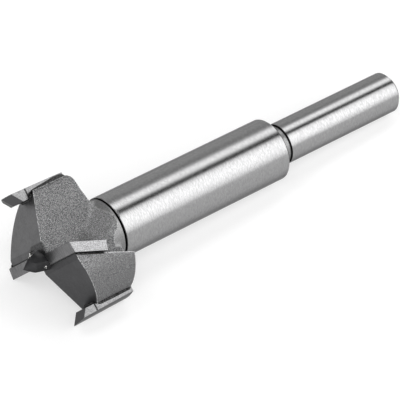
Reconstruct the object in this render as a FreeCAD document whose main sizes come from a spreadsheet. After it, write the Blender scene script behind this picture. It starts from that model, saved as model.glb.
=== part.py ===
import FreeCAD, Part
import math
import os
import Sketcher

# Forstner bit of the hinge-boring kind: a steel body with two wings, two carbide cutting
# plates and two carbide spur strips. Lengths are millimetres and angles are degrees.
#
# The bit is drawn along X: the cutting edges lie in the plane X = 0, the shank is at +X
# and the centre point at -X. Y runs along the cutting edge of the first wing and Z
# points at its spur. The second wing is the first one turned half round X.
# At the end every piece gets the same placement, which lays the bit down at rest.

DRIVING_SIZES = [
    ("head_diameter", 32, "circle that the spurs cut"),
    ("wing_inset", 1.3, "how far the steel of the wings lies inside that circle"),
    ("wing_setback", 2.6, "rear face of a wing, ahead of the barrel"),
    ("wing_round", 2, "rounding of the rear outer edge of a wing"),
    ("wing_rear_rise", 0.8, "how much the rear face leans back towards the hub"),
    ("wing_back", 2.3, "back face of a wing, behind the centre line at the axis"),
    ("wing_back_lean", 3.5, "how it closes in towards the spur strip"),
    ("rim_curve", 18.2, "radius of the rim between strip and cutting plate"),
    ("hub_diameter", 14.6, "blasted hub between wings and neck"),
    ("head_height", 18.4, "cutting edge to the front of the barrel"),
    ("neck_diameter", 13.4, "bottom of the dark groove at the neck"),
    ("neck_width", 0.45, "width of that groove"),
    ("barrel_diameter", 15, "thick ground part"),
    ("barrel_length", 48.2, "its length"),
    ("barrel_lead", 0.12, "small chamfer at its front end"),
    ("barrel_chamfer", 0.4, "chamfer at its rear end"),
    ("relief_diameter", 9.4, "turned relief between barrel and shank"),
    ("relief_length", 2.95, "its length"),
    ("shank_diameter", 10, "straight shank that the chuck holds"),
    ("shank_length", 34.6, "its length"),
    ("shank_chamfer", 0.8, "chamfer at its free end"),
    ("web_thickness", 2.6, "core left between the two gullets at the front"),
    ("gullet_straight", 3, "straight start of a gullet floor"),
    ("gullet_turn", 225, "way that a gullet floor faces, turned from the spur"),
    ("gullet_corner", 2.4, "inside rounding between gullet floor and wing"),
    ("front_flat", 0.85, "flat front of the steel, behind the cutting edge"),
    ("point_height", 4.8, "centre point ahead of the cutting edge"),
    ("point_diameter", 5.2, "centre point at its root"),
    ("point_nose_height", 2.5, "length of the steep nose of the point"),
    ("point_nose_diameter", 3.5, "diameter where the nose ends"),
    ("front_relief", 21, "fall of a wing's front face behind the edge"),
    ("front_lead", 0.35, "height of that face at the axis"),
    ("rake", 20, "lean of the cutting plate"),
    ("edge_lead", 0.95, "cutting edge ahead of the centre line"),
    ("plate_length", 9, "carbide plate along the rake"),
    ("plate_thickness", 2.3, "its thickness"),
    ("plate_inner", 2.9, "its inner end, from the axis"),
    ("pocket_open", 2, "how far the pocket of a plate opens ahead of it"),
    ("plate_inset", 0.7, "its outer end, inside the cutting circle"),
    ("flank_relief", 6, "clearance ground on its top"),
    ("strip_width", 5.2, "spur strip round the rim"),
    ("strip_thickness", 2.6, "how deep the strip reaches in from the cutting circle"),
    ("strip_short", 1.2, "rear end of the strip, ahead of the rear face of the wing"),
    ("strip_taper", 0.35, "how much its radius shrinks to the rear"),
    ("tooth_height", 0.95, "spur tip ahead of the cutting edge"),
    ("tooth_tip", 2.1, "spur tip from the back of the strip"),
    ("tooth_slope", 38, "inward slope of the tooth"),
    ("tooth_lead_drop", 1.05, "fall of the tip towards the leading side"),
    ("tooth_back_drop", 1.95, "fall of the tip towards the back"),
    ("tooth_end", 4.4, "where the ground tooth ends on the strip"),
    ("tooth_grind", 0.15, "what grinding took off each side of the tooth"),
    ("braze_gap", 0.05, "braze film round each carbide piece"),
    ("mesh_fineness", 0.02, "how closely the resting points follow the surface"),
]

# Places worked out from the driving sizes.
DERIVED_SIZES = [
    ("head_radius", "=head_diameter / 2"),
    ("wing_height", "=head_height - wing_setback"),
    ("wing_radius", "=head_radius - wing_inset"),
    ("hub_radius", "=hub_diameter / 2"),
    ("neck_radius", "=neck_diameter / 2"),
    ("barrel_radius", "=barrel_diameter / 2"),
    ("relief_radius", "=relief_diameter / 2"),
    ("shank_radius", "=shank_diameter / 2"),
    ("point_radius", "=point_diameter / 2"),
    ("strip_inner", "=head_radius - strip_thickness"),
    ("strip_end", "=wing_height - strip_short"),
    ("plate_outer", "=head_radius - plate_inset"),
    ("hub_end", "=head_height - neck_width"),
    ("barrel_front_flat", "=head_height + barrel_lead"),
    ("barrel_front_rim", "=barrel_radius - barrel_lead"),
    ("barrel_rim", "=barrel_radius - barrel_chamfer"),
    ("barrel_rear", "=head_height + barrel_length"),
    ("barrel_rear_flat", "=barrel_rear - barrel_chamfer"),
    ("relief_end", "=barrel_rear + relief_length"),
    ("shank_end", "=relief_end + shank_length"),
    ("shank_end_flat", "=shank_end - shank_chamfer"),
    ("shank_rim", "=shank_radius - shank_chamfer"),
    ("point_apex", "=0 - point_height"),
    ("tooth_front", "=0 - tooth_height"),
    ("point_nose_end", "=point_nose_height - point_height"),
    ("point_nose_radius", "=point_nose_diameter / 2"),
    ("web_half", "=web_thickness / 2"),
    ("gullet_start", "=front_flat + gullet_straight"),
    ("gullet_rise", "=hub_radius - web_half"),
    ("gullet_run", "=hub_end - gullet_start"),
    ("gullet_radius", "=(gullet_run ^ 2 + gullet_rise ^ 2) / (2 * gullet_rise)"),
    ("clear_radius", "=head_radius + 4"),
    ("clear_far", "=0 - clear_radius"),
    ("clear_outer", "=clear_radius + 4"),
    ("clear_top", "=2 * clear_outer"),
    ("clear_back", "=0 - 2 * clear_outer"),
    ("clear_front", "=0 - point_height - 4"),
    ("clear_rear", "=hub_end + 4"),
    ("gullet_front", "=0 - tooth_height - 1"),
    ("wing_round_start", "=wing_height - wing_round"),
    ("wing_round_inner", "=wing_radius - wing_round"),
    ("wing_rear_hub", "=wing_height + wing_rear_rise"),
    ("seat_offset", "=plate_thickness + braze_gap"),
    ("seat_axis_t", "=seat_offset / cos(rake) - edge_lead"),
    ("seat_front_t", "=seat_axis_t + clear_front * tan(rake)"),
    ("seat_rear_t", "=seat_axis_t + clear_rear * tan(rake)"),
    ("face_axis", "=0 - front_lead"),
    ("face_rim", "=clear_radius * tan(front_relief) - front_lead"),
    ("point_flat_far", "=0 - web_half"),
    ("point_root", "=front_flat + web_half"),
    ("point_clear", "=point_root + 4"),
    ("gap_place", "=0 - braze_gap"),
    ("slot_far", "=strip_width + braze_gap"),
    ("slot_inner", "=strip_inner - braze_gap"),
    ("slot_end", "=strip_end + braze_gap"),
    ("rim_back", "=sqrt(wing_radius ^ 2 - slot_far ^ 2)"),
    ("back_low", "=wing_back - clear_outer * tan(wing_back_lean)"),
    ("back_high", "=wing_back + clear_outer * tan(wing_back_lean)"),
    ("clear_low", "=0 - clear_outer"),
    ("ring_end", "=(wing_rear_hub + hub_end) / 2"),
    ("edge_t", "=0 - edge_lead"),
    ("plate_rear_s", "=plate_length * cos(rake)"),
    ("plate_rear_t", "=plate_length * sin(rake) - edge_lead"),
    ("plate_back_s", "=plate_rear_s - plate_thickness * sin(rake)"),
    ("plate_back_t", "=plate_rear_t + plate_thickness * cos(rake)"),
    ("pocket_start", "=braze_gap - plate_inner"),
    ("pocket_back_s", "=plate_back_s + braze_gap * cos(rake) - braze_gap * sin(rake)"),
    ("pocket_back_t", "=plate_back_t + braze_gap * sin(rake) + braze_gap * cos(rake)"),
    ("pocket_face_s", "=plate_rear_s + braze_gap * cos(rake) + pocket_open * sin(rake)"),
    ("pocket_face_t", "=plate_rear_t + braze_gap * sin(rake) - pocket_open * cos(rake)"),
    ("pocket_front_t", "=pocket_face_t + (clear_front - pocket_face_s) * tan(rake)"),
    ("flank_fall", "=plate_thickness * tan(flank_relief + rake)"),
    ("flank_s", "=flank_fall * cos(rake) - plate_thickness * sin(rake)"),
    ("flank_t", "=plate_thickness * cos(rake) + flank_fall * sin(rake) - edge_lead"),
    ("plate_span", "=plate_outer - plate_inner"),
    ("plate_start", "=0 - plate_inner"),
    ("tooth_turn", "=0 - tooth_slope"),
    ("tooth_outer_s", "=tooth_front - (clear_radius - head_radius) * tan(tooth_slope)"),
    ("tooth_inner_s", "=(clear_radius - strip_inner) * tan(tooth_slope) + tooth_outer_s"),
    ("strip_end_radius", "=head_radius - strip_taper"),
    ("tooth_lead_cut", "=tooth_lead_drop * cos(tooth_slope)"),
    ("tooth_back_cut", "=tooth_back_drop * cos(tooth_slope)"),
    ("tooth_lead_side", "=strip_width - tooth_grind"),
    ("strip_clear", "=strip_width + 2"),
    ("strip_clear_far", "=0 - 2"),
    ("tooth_clear", "=0 - 6"),
]

doc = FreeCAD.newDocument("forstner_bit")
sheet = doc.addObject("Spreadsheet::Sheet", "sizes")
for row, (name, value, meaning) in enumerate(DRIVING_SIZES, start=1):
    sheet.set(f"A{row}", name)
    sheet.set(f"B{row}", str(value))
    sheet.set(f"C{row}", meaning)
    sheet.setAlias(f"B{row}", name)
for row, (name, formula) in enumerate(DERIVED_SIZES, start=len(DRIVING_SIZES) + 2):
    sheet.set(f"A{row}", name)
    sheet.setAlias(f"B{row}", name)
    sheet.set(f"B{row}", formula)
doc.recompute()


def size(name):
    """The number in the cell with this alias; a plain number stays as it is."""
    return float(sheet.get(name)) if isinstance(name, str) else float(name)


def plane_of(body, role):
    """The body's own origin plane or axis with this role."""
    return next(item for item in body.Origin.OriginFeatures if item.Role == role)


def sketch_on(body, name, role):
    """An empty sketch that lies on one of the body's own origin planes."""
    sketch = body.newObject("Sketcher::SketchObject", name)
    sketch.AttachmentSupport = [(plane_of(body, role), "")]
    sketch.MapMode = "FlatFace"
    return sketch


def turn_sketch(sketch, axis, name):
    """Turn a sketch on its plane about one of its own axes, by the angle in a cell."""
    sketch.AttachmentOffset = FreeCAD.Placement(
        FreeCAD.Vector(), FreeCAD.Rotation(axis, size(name)))
    sketch.setExpression("AttachmentOffset.Rotation.Angle", f"sizes.{name}")


def shift_sketch(sketch, direction, name):
    """Move a sketch off its plane along one of its own axes, by the number in a cell."""
    sketch.setExpression(f"AttachmentOffset.Base.{direction}", f"sizes.{name}")


def bind(sketch, index, name):
    """Tie a constraint to a cell, unless its value is a plain number."""
    if isinstance(name, str):
        sketch.setExpression(f"Constraints[{index}]", f"sizes.{name}")


def outline(sketch, corners, arcs=None):
    """A closed outline through corners, each given as two cell names.

    arcs maps the number of an edge to (radius, side): that edge is an arc of that radius,
    with its centre to the left (side 1) or to the right (side -1) of the way round.
    """
    arcs = arcs or {}
    points = [FreeCAD.Vector(size(x), size(y), 0) for x, y in corners]
    count = len(points)
    edges = []
    for number, start in enumerate(points):
        end = points[(number + 1) % count]
        if number not in arcs:
            edges.append((sketch.addGeometry(Part.LineSegment(start, end), False), 1, 2))
            continue
        radius, side = size(arcs[number][0]), arcs[number][1]
        chord = end - start
        left = FreeCAD.Vector(-chord.y, chord.x, 0).normalize()
        centre = (start + end) * 0.5 + left * side * math.sqrt(
            max(radius ** 2 - (chord.Length / 2) ** 2, 0))
        from_angle = math.atan2(start.y - centre.y, start.x - centre.x)
        to_angle = math.atan2(end.y - centre.y, end.x - centre.x)
        circle = Part.Circle(centre, FreeCAD.Vector(0, 0, 1), radius)
        if side > 0:
            arc = Part.ArcOfCircle(circle, from_angle, to_angle)
            edges.append((sketch.addGeometry(arc, False), 1, 2))
        else:
            arc = Part.ArcOfCircle(circle, to_angle, from_angle)
            edges.append((sketch.addGeometry(arc, False), 2, 1))
        index = sketch.addConstraint(
            Sketcher.Constraint("Radius", edges[-1][0], radius))
        bind(sketch, index, arcs[number][0])
    for number, (edge, first, last) in enumerate(edges):
        following = edges[(number + 1) % count]
        sketch.addConstraint(Sketcher.Constraint(
            "Coincident", edge, last, following[0], following[1]))
        for kind, place in zip(("DistanceX", "DistanceY"), corners[number]):
            index = sketch.addConstraint(Sketcher.Constraint(
                kind, -1, 1, edge, first, size(place)))
            bind(sketch, index, place)


def new_body(label):
    body = doc.addObject("PartDesign::Body", label)
    body.Label = label
    return body


def revolve(body, sketch, name, angle=360):
    """Turn an outline about X, from its own plane towards +Y when less than a full turn."""
    turned = body.newObject("PartDesign::Revolution", name)
    turned.Profile = sketch
    turned.ReferenceAxis = (plane_of(body, "X_Axis"), [""])
    turned.Angle = angle
    doc.recompute()
    return turned


def turned_away(body, sketch, name):
    """Cut away what an outline sweeps when it turns about X."""
    groove = body.newObject("PartDesign::Groove", name)
    groove.Profile = sketch
    groove.ReferenceAxis = (plane_of(body, "X_Axis"), [""])
    groove.Angle = 360
    doc.recompute()
    return groove


def half_turn_pattern(body, name, features=None):
    """Repeat some features, or else the whole body, half a turn round X."""
    pattern = body.newObject("PartDesign::PolarPattern", name)
    pattern.TransformMode = "Features" if features else "Whole shape"
    pattern.Originals = features or []
    pattern.Axis = (plane_of(body, "X_Axis"), [""])
    pattern.Angle = 360
    pattern.Occurrences = 2
    body.Tip = pattern
    doc.recompute()
    return pattern


def through_cut(body, sketch, name, outward=False):
    """A cut of unlimited depth, both ways from the sketch or only along its normal."""
    cut = body.newObject("PartDesign::Pocket", name)
    cut.Profile = sketch
    cut.Type = "ThroughAll"
    cut.SideType = "One side" if outward else "Symmetric"
    cut.Reversed = outward
    doc.recompute()
    return cut


# The turned blank: head disc, hub, neck, barrel, relief and shank.
blank = new_body("turned_blank")
profile = sketch_on(blank, "turning_profile", "XZ_Plane")
outline(profile, [
    ("front_flat", 0),
    ("front_flat", "wing_radius"),
    ("wing_round_start", "wing_radius"),
    ("wing_height", "wing_round_inner"),
    ("wing_rear_hub", "hub_radius"),
    ("hub_end", "hub_radius"),
    ("hub_end", "neck_radius"),
    ("head_height", "neck_radius"),
    ("head_height", "barrel_front_rim"),
    ("barrel_front_flat", "barrel_radius"),
    ("barrel_rear_flat", "barrel_radius"),
    ("barrel_rear", "barrel_rim"),
    ("barrel_rear", "relief_radius"),
    ("relief_end", "relief_radius"),
    ("relief_end", "shank_radius"),
    ("shank_end_flat", "shank_radius"),
    ("shank_end", "shank_rim"),
    ("shank_end", 0),
], arcs={2: ("wing_round", -1)})
revolve(blank, profile, "turning")

# The front face of each wing falls away behind a flat strip that backs its cutting plate,
# so the front of the disc becomes a low roof with a flat ridge along Y.
roof = sketch_on(blank, "front_faces", "XZ_Plane")
outline(roof, [
    ("face_axis", 0),
    ("face_rim", "clear_radius"),
    ("clear_front", "clear_radius"),
    ("clear_front", "clear_far"),
    ("face_rim", "clear_far"),
])
through_cut(blank, roof, "front_relief_cut")

# Each spur strip lies in a slot along the rim that is open to the front.
slot = sketch_on(blank, "strip_slot", "XY_Plane")
shift_sketch(slot, "z", "slot_inner")
outline(slot, [
    ("clear_front", "gap_place"),
    ("slot_end", "gap_place"),
    ("slot_end", "slot_far"),
    ("clear_front", "slot_far"),
])
slot_cut = through_cut(blank, slot, "slot_cut", outward=True)

# Between the strip and the cutting plate the rim is flatter than the turned circle.
rim = sketch_on(blank, "rim_shape", "YZ_Plane")
outline(rim, [
    ("wing_radius", 0),
    ("clear_outer", 0),
    ("clear_outer", "clear_outer"),
    ("slot_far", "clear_outer"),
    ("slot_far", "rim_back"),
], arcs={4: ("rim_curve", -1)})
rim_cut = through_cut(blank, rim, "rim_cut")
half_turn_pattern(blank, "wing_pair", [slot_cut, rim_cut])

# A gullet is a block of space over a floor that runs straight along the core and then
# climbs in an arc to the surface of the hub. One side is the back of a wing, the other
# is the raked seat of the cutting plate, and both meet the floor in a rounded corner.
gullet = new_body("gullet_space")
floor = sketch_on(gullet, "gullet_floor", "XZ_Plane")
turn_sketch(floor, FreeCAD.Vector(1, 0, 0), "gullet_turn")
outline(floor, [
    ("gullet_front", "web_half"),
    ("gullet_start", "web_half"),
    ("hub_end", "hub_radius"),
    ("hub_end", "clear_outer"),
    ("gullet_front", "clear_outer"),
], arcs={1: ("gullet_radius", 1)})
block = gullet.newObject("PartDesign::Pad", "gullet_block")
block.Profile = floor
block.SideType = "Symmetric"
block.setExpression("Length", "2 * sizes.clear_outer")
doc.recompute()

# Outside the hub the space takes in everything between the two sides.
ring = sketch_on(gullet, "hub_outside", "XZ_Plane")
outline(ring, [
    ("gullet_front", "hub_radius"),
    ("ring_end", "hub_radius"),
    ("ring_end", "clear_radius"),
    ("gullet_front", "clear_radius"),
])
revolve(gullet, ring, "hub_ring")

back = sketch_on(gullet, "wing_back_face", "YZ_Plane")
outline(back, [
    ("back_low", "clear_low"),
    ("back_high", "clear_outer"),
    ("clear_back", "clear_outer"),
    ("clear_back", "clear_low"),
])
through_cut(gullet, back, "back_side")

seat = sketch_on(gullet, "plate_seat", "XZ_Plane")
outline(seat, [
    ("clear_front", "seat_front_t"),
    ("clear_rear", "seat_rear_t"),
    ("clear_rear", "clear_top"),
    ("clear_front", "clear_top"),
])
side_cut = through_cut(gullet, seat, "seat_side")


def rounded_edges(shape):
    """Names of the edges that the rounding runs along: where the gullet floor meets the
    back of a wing and where the hub meets the seat of the plate."""
    turn, rake, lean = (math.radians(size(name)) for name in (
        "gullet_turn", "rake", "wing_back_lean"))
    floor_normal = FreeCAD.Vector(0, -math.sin(turn), math.cos(turn))
    back_normal = FreeCAD.Vector(0, math.cos(lean), -math.sin(lean))
    seat_normal = FreeCAD.Vector(math.sin(rake), 0, -math.cos(rake))

    def lies_flat(face, normal):
        return isinstance(face.Surface, Part.Plane) and abs(face.Surface.Axis.dot(normal)) > 0.9999

    def is_round(face, along_x):
        return isinstance(face.Surface, Part.Cylinder) and (
            abs(face.Surface.Axis.x) > 0.9999) == along_x

    names = []
    for number, edge in enumerate(shape.Edges, start=1):
        middle = edge.BoundBox.Center
        beside = math.hypot(middle.y, middle.z)
        if middle.x > size("ring_end") or beside > size("wing_radius"):
            continue
        faces = shape.ancestorsOfType(edge, Part.Face)
        on_back = any(lies_flat(face, back_normal) for face in faces)
        on_seat = any(lies_flat(face, seat_normal) for face in faces)
        on_floor = any(lies_flat(face, floor_normal) or is_round(face, False) for face in faces)
        on_hub = any(is_round(face, True) for face in faces)
        if (on_back and on_floor) or (on_seat and on_hub):
            names.append(f"Edge{number}")
    return names


rounding = gullet.newObject("PartDesign::Fillet", "corner_rounding")
rounding.Base = (side_cut, rounded_edges(side_cut.Shape))
rounding.setExpression("Radius", "sizes.gullet_corner")
doc.recompute()

# The cutting plate sits in a pocket with a flat seat, an inner end wall and a rear wall.
pocket = sketch_on(gullet, "plate_pocket_side", "XZ_Plane")
shift_sketch(pocket, "z", "pocket_start")
outline(pocket, [
    ("clear_front", "seat_front_t"),
    ("pocket_back_s", "pocket_back_t"),
    ("pocket_face_s", "pocket_face_t"),
    ("clear_front", "pocket_front_t"),
])
room = gullet.newObject("PartDesign::Pad", "plate_pocket")
room.Profile = pocket
room.Reversed = True
room.setExpression("Length", "sizes.clear_radius")
doc.recompute()
half_turn_pattern(gullet, "gullet_pair")

# The centre point stands on the web between the gullets and has a flat over each of them.
point = new_body("centre_point")
nose = sketch_on(point, "point_profile", "XZ_Plane")
outline(nose, [
    ("point_apex", 0),
    ("point_nose_end", "point_nose_radius"),
    ("front_flat", "point_radius"),
    ("point_root", "point_radius"),
    ("point_root", 0),
])
revolve(point, nose, "point_turning")
flats = sketch_on(point, "point_flats", "XZ_Plane")
turn_sketch(flats, FreeCAD.Vector(1, 0, 0), "gullet_turn")
for near, far in (("web_half", "clear_radius"), ("point_flat_far", "clear_far")):
    outline(flats, [
        ("clear_front", near),
        ("point_clear", near),
        ("point_clear", far),
        ("clear_front", far),
    ])
through_cut(point, flats, "flats_cut")

cut_head = doc.addObject("Part::Cut", "gulleted_blank")
cut_head.Base = blank
cut_head.Tool = gullet
steel = doc.addObject("Part::MultiFuse", "steel_body")
steel.Label = "steel_body"
steel.Shapes = [cut_head, point]
steel.Refine = True
doc.recompute()

pieces = [steel]
for number, turn in ((1, 0), (2, 180)):
    half = FreeCAD.Rotation(FreeCAD.Vector(1, 0, 0), turn)

    # Cutting plate: a flat block that leans by the rake, with its top ground to the
    # flank relief so that the front corner is the cutting edge.
    plate = new_body(f"cutter_plate_{number}")
    side = sketch_on(plate, f"plate_side_{number}", "XZ_Plane")
    shift_sketch(side, "z", "plate_start")
    outline(side, [
        (0, "edge_t"),
        ("plate_rear_s", "plate_rear_t"),
        ("plate_back_s", "plate_back_t"),
        ("flank_s", "flank_t"),
    ])
    slab = plate.newObject("PartDesign::Pad", f"plate_slab_{number}")
    slab.Profile = side
    slab.Reversed = True
    slab.setExpression("Length", "sizes.plate_span")
    doc.recompute()
    pieces.append(plate)

    # Spur strip: a bar along the rim, turned to the cutting circle outside, with a tooth
    # ground on its front end that slopes inwards and to both sides of the tip.
    strip = new_body(f"spur_strip_{number}")
    bar_side = sketch_on(strip, f"strip_side_{number}", "XZ_Plane")
    outline(bar_side, [
        ("tooth_outer_s", "clear_radius"),
        ("strip_end", "clear_radius"),
        ("strip_end", "strip_inner"),
        ("tooth_inner_s", "strip_inner"),
    ])
    bar = strip.newObject("PartDesign::Pad", f"strip_bar_{number}")
    bar.Profile = bar_side
    bar.Reversed = True
    bar.setExpression("Length", "sizes.strip_width")
    doc.recompute()
    outside = sketch_on(strip, f"strip_outside_{number}", "XZ_Plane")
    outline(outside, [
        ("clear_front", "head_radius"),
        ("tooth_front", "head_radius"),
        ("strip_end", "strip_end_radius"),
        ("strip_end", "clear_outer"),
        ("clear_front", "clear_outer"),
    ])
    turned_away(strip, outside, f"outside_cut_{number}")
    facets = sketch_on(strip, f"tooth_facets_{number}", "XY_Plane")
    turn_sketch(facets, FreeCAD.Vector(0, 1, 0), "tooth_turn")
    shift_sketch(facets, "x", "tooth_front")
    shift_sketch(facets, "z", "head_radius")
    outline(facets, [
        (0, "tooth_tip"),
        ("tooth_lead_cut", "strip_width"),
        ("tooth_lead_cut", "strip_clear"),
        ("tooth_clear", "strip_clear"),
        ("tooth_clear", "strip_clear_far"),
        ("tooth_back_cut", "strip_clear_far"),
        ("tooth_back_cut", 0),
    ])
    through_cut(strip, facets, f"facet_cut_{number}")
    sides = sketch_on(strip, f"tooth_sides_{number}", "XY_Plane")
    for near, far in (("tooth_grind", "strip_clear_far"), ("tooth_lead_side", "strip_clear")):
        outline(sides, [
            ("clear_front", near),
            ("tooth_end", near),
            ("tooth_end", far),
            ("clear_front", far),
        ])
    through_cut(strip, sides, f"side_cut_{number}")
    pieces.append(strip)
    plate.Placement = FreeCAD.Placement(FreeCAD.Vector(), half)
    strip.Placement = FreeCAD.Placement(FreeCAD.Vector(), half)

doc.recompute()


def surface_points(shapes):
    """Points all over the outside of some shapes, fine enough to rest on."""
    fineness = size("mesh_fineness")
    return [point for shape in shapes for point in shape.tessellate(fineness)[0]]


def resting_rotation(shapes):
    """The turn that lays the bit on its two head corners and the rim of its shank.

    The three lowest points, one on each side of the head and one behind it, give a
    plane, and the plane gives new lowest points, until they stay the same.
    """
    points = surface_points(shapes)
    head = [point for point in points if point.x < size("head_height")]
    tail = [point for point in points if point.x >= size("head_height")]
    turn = math.radians(size("gullet_turn"))
    up = FreeCAD.Vector(0, -math.sin(turn), math.cos(turn))
    across = FreeCAD.Vector(0, math.cos(turn), math.sin(turn))
    left = [point for point in head if point.dot(across) > 0]
    right = [point for point in head if point.dot(across) <= 0]
    contacts = None
    while True:
        lowest = [min(group, key=lambda point: point.dot(up)) for group in (left, right, tail)]
        if lowest == contacts:
            break
        contacts = lowest
        normal = (contacts[1] - contacts[0]).cross(contacts[2] - contacts[0]).normalize()
        up = normal if normal.dot(up) > 0 else normal * -1
    along = FreeCAD.Vector(1, 0, 0)
    flat_along = (along - up * along.dot(up)).normalize()
    return FreeCAD.Rotation(flat_along, up.cross(flat_along), up, "ZXY").inverted()


def resting_placement(shapes):
    """The rotation above, then a move that puts the middle of the footprint on the origin."""
    turned = FreeCAD.Placement(FreeCAD.Vector(), resting_rotation(shapes))
    box = Part.makeCompound([
        shape.transformed(turned.toMatrix()) for shape in shapes
    ]).optimalBoundingBox(False, False)
    middle = FreeCAD.Vector((box.XMin + box.XMax) / 2, (box.YMin + box.YMax) / 2, box.ZMin)
    return FreeCAD.Placement(middle * -1, turned.Rotation)


for item in doc.Objects:
    if "Invalid" in item.State or "Error" in item.State:
        raise SystemExit(f"{item.Name} failed: {item.State}")
rest = resting_placement([piece.Shape for piece in pieces])
print("rest placement", rest)
for piece in pieces:
    piece.Placement = rest.multiply(piece.Placement)
doc.recompute()
for piece in pieces:
    if piece.Shape.isNull() or not piece.Shape.isValid():
        raise SystemExit(f"{piece.Label} has no valid shape")
    print(piece.Label, round(piece.Shape.Volume, 2), len(piece.Shape.Solids),
          piece.Shape.optimalBoundingBox(False, False))
os.makedirs("parts", exist_ok=True)
for piece in pieces:
    piece.Shape.exportStep(f"parts/{piece.Label}.step")
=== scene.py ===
# %% [markdown]
# # A hinge-boring forstner bit in Blender
#
# The bit comes in as five finished solids: the steel body, two carbide cutting plates and
# two carbide spur strips. This notebook gives them their finishes, adds the braze that
# holds the carbide, and sets up a small studio round them. Lengths in the text are
# millimetres; the scene itself is in metres.
#
# The first cell loads the solids. They already stand where they belong, so nothing here
# moves them.

# %% Load the solids
import math
import bpy
from mathutils import Matrix, Vector


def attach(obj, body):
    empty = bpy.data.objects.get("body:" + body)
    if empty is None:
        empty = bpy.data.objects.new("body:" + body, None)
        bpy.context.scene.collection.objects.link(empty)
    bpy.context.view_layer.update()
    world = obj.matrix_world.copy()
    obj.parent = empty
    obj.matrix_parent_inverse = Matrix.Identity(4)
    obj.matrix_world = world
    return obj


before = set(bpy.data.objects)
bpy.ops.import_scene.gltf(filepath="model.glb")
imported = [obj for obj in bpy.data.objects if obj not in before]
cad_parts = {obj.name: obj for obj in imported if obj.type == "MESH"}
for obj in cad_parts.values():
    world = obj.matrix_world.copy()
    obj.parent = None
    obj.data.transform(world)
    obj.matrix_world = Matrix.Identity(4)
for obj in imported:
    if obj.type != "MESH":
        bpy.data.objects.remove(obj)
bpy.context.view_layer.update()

for name in sorted(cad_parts):
    print(name, len(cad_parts[name].data.polygons), "triangles")

# %% [markdown]
# ## Where things are on the bit
#
# The bit lies on its head and its thick body, so its axis is tipped a few degrees. Every
# finish below depends on how far along that axis a point is, and every added piece sits at
# a place on the head. A small frame of reference that is tied to the bit makes both easy:
# its origin is on the axis in the plane of the cutting edges, X runs to the shank, Y runs
# along a cutting edge, and Z points at the first spur. The numbers are the ones that the
# solids were laid down with. Each row ends with the origin's place, in millimetres.

# %% The bit's own frame of reference
MM = 0.001
SHANK_END = 104.15
BIT = Matrix((
    (0.99781390, 0.04854073, -0.04484672, -49.705187),
    (0.0, -0.67860591, -0.73450256, 0.0),
    (-0.06608654, 0.73289686, -0.67712241, 11.858533),
    (0.0, 0.0, 0.0, 1.0),
))
AXIS, EDGE_WAY, SPUR_WAY = (way.copy() for way in BIT.to_3x3().col)
START = BIT.translation


def on_bit(along, edge_way, spur_way):
    """A place on the bit, given in its own frame in millimetres, as a place in the scene."""
    return (BIT @ Vector((along, edge_way, spur_way))) * MM


print("axis", [round(part, 4) for part in AXIS])
print("end of the shank", [round(part, 4) for part in on_bit(SHANK_END, 0, 0)])

# %% [markdown]
# ## Camera
#
# The picture was taken with a long lens from above and from the head's end, so the bit
# hardly narrows towards the back. A camera can be placed by eye, but then each later look
# at the picture would mix its error with those of the shapes. So the place, the direction
# and the focal length were fitted to the round sections and corners of the bit. The fit
# gave the focal length in pixels of a picture 400 pixels wide, and Blender wants it in
# millimetres of its sensor.

# %% Camera
SENSOR_WIDTH = 36.0
PICTURE_WIDTH = 400
FOCAL_PIXELS = 2704.56
NEAREST, FARTHEST = 0.05, 50.0
CAMERA_PLACE = (-0.30432317, -0.35492137, 0.40863920)
CAMERA_TURN = (48.94232, 0.19748, -40.39409)

camera_data = bpy.data.cameras.new("camera")
camera_data.sensor_width = SENSOR_WIDTH
camera_data.lens = FOCAL_PIXELS / PICTURE_WIDTH * SENSOR_WIDTH
camera_data.clip_start = NEAREST
camera_data.clip_end = FARTHEST
camera = bpy.data.objects.new("camera", camera_data)
bpy.context.scene.collection.objects.link(camera)
camera.location = CAMERA_PLACE
camera.rotation_euler = tuple(math.radians(turn) for turn in CAMERA_TURN)
bpy.context.scene.camera = camera
print("focal length", round(camera_data.lens, 1), "mm")

# %% [markdown]
# ## Node helpers
#
# The finishes could be drawn by hand in the shader editor. Written down, they can be read
# from top to bottom, and a value that two of them share has one place. They are built from
# the same few bricks, so each brick gets a short helper. The first ones make a material
# with its shader, and add a node with its inputs filled in. An input may be a number or
# another node's socket.

# %% Materials and nodes
def new_finish(name):
    """A material with an empty tree but for the shader and the output."""
    finish = bpy.data.materials.new(name)
    finish.use_nodes = True
    shader = finish.node_tree.nodes["Principled BSDF"]
    return finish, finish.node_tree, shader


def put(tree, kind, inputs=(), **settings):
    """Adds a node, sets its options, and fills its inputs with numbers or with sockets."""
    node = tree.nodes.new(kind)
    for option, value in settings.items():
        setattr(node, option, value)
    for place, value in enumerate(inputs):
        if value is None:
            continue
        if isinstance(value, bpy.types.NodeSocket):
            tree.links.new(value, node.inputs[place])
        else:
            node.inputs[place].default_value = value
    return node


print("new_finish and put ready")

# %% [markdown]
# The others are the sums, steps and blends that come again and again. Most finishes are
# a blend of two others, and a step says where on the bit the one goes over into the other.

# %% Sums, steps and blends
def maths(tree, operation, *values):
    """The result of one sum, such as MULTIPLY, on numbers or sockets."""
    return put(tree, "ShaderNodeMath", values, operation=operation).outputs[0]


def dot(tree, vector, direction):
    """How far a vector socket reaches in a fixed direction."""
    node = put(tree, "ShaderNodeVectorMath", (vector, tuple(direction)), operation="DOT_PRODUCT")
    return node.outputs["Value"]


def step(tree, value, start, end):
    """Rises smoothly from 0 to 1 while value goes from start to end."""
    node = put(tree, "ShaderNodeMapRange", (value, start, end, 0.0, 1.0),
               interpolation_type="SMOOTHSTEP")
    return node.outputs[0]


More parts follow.
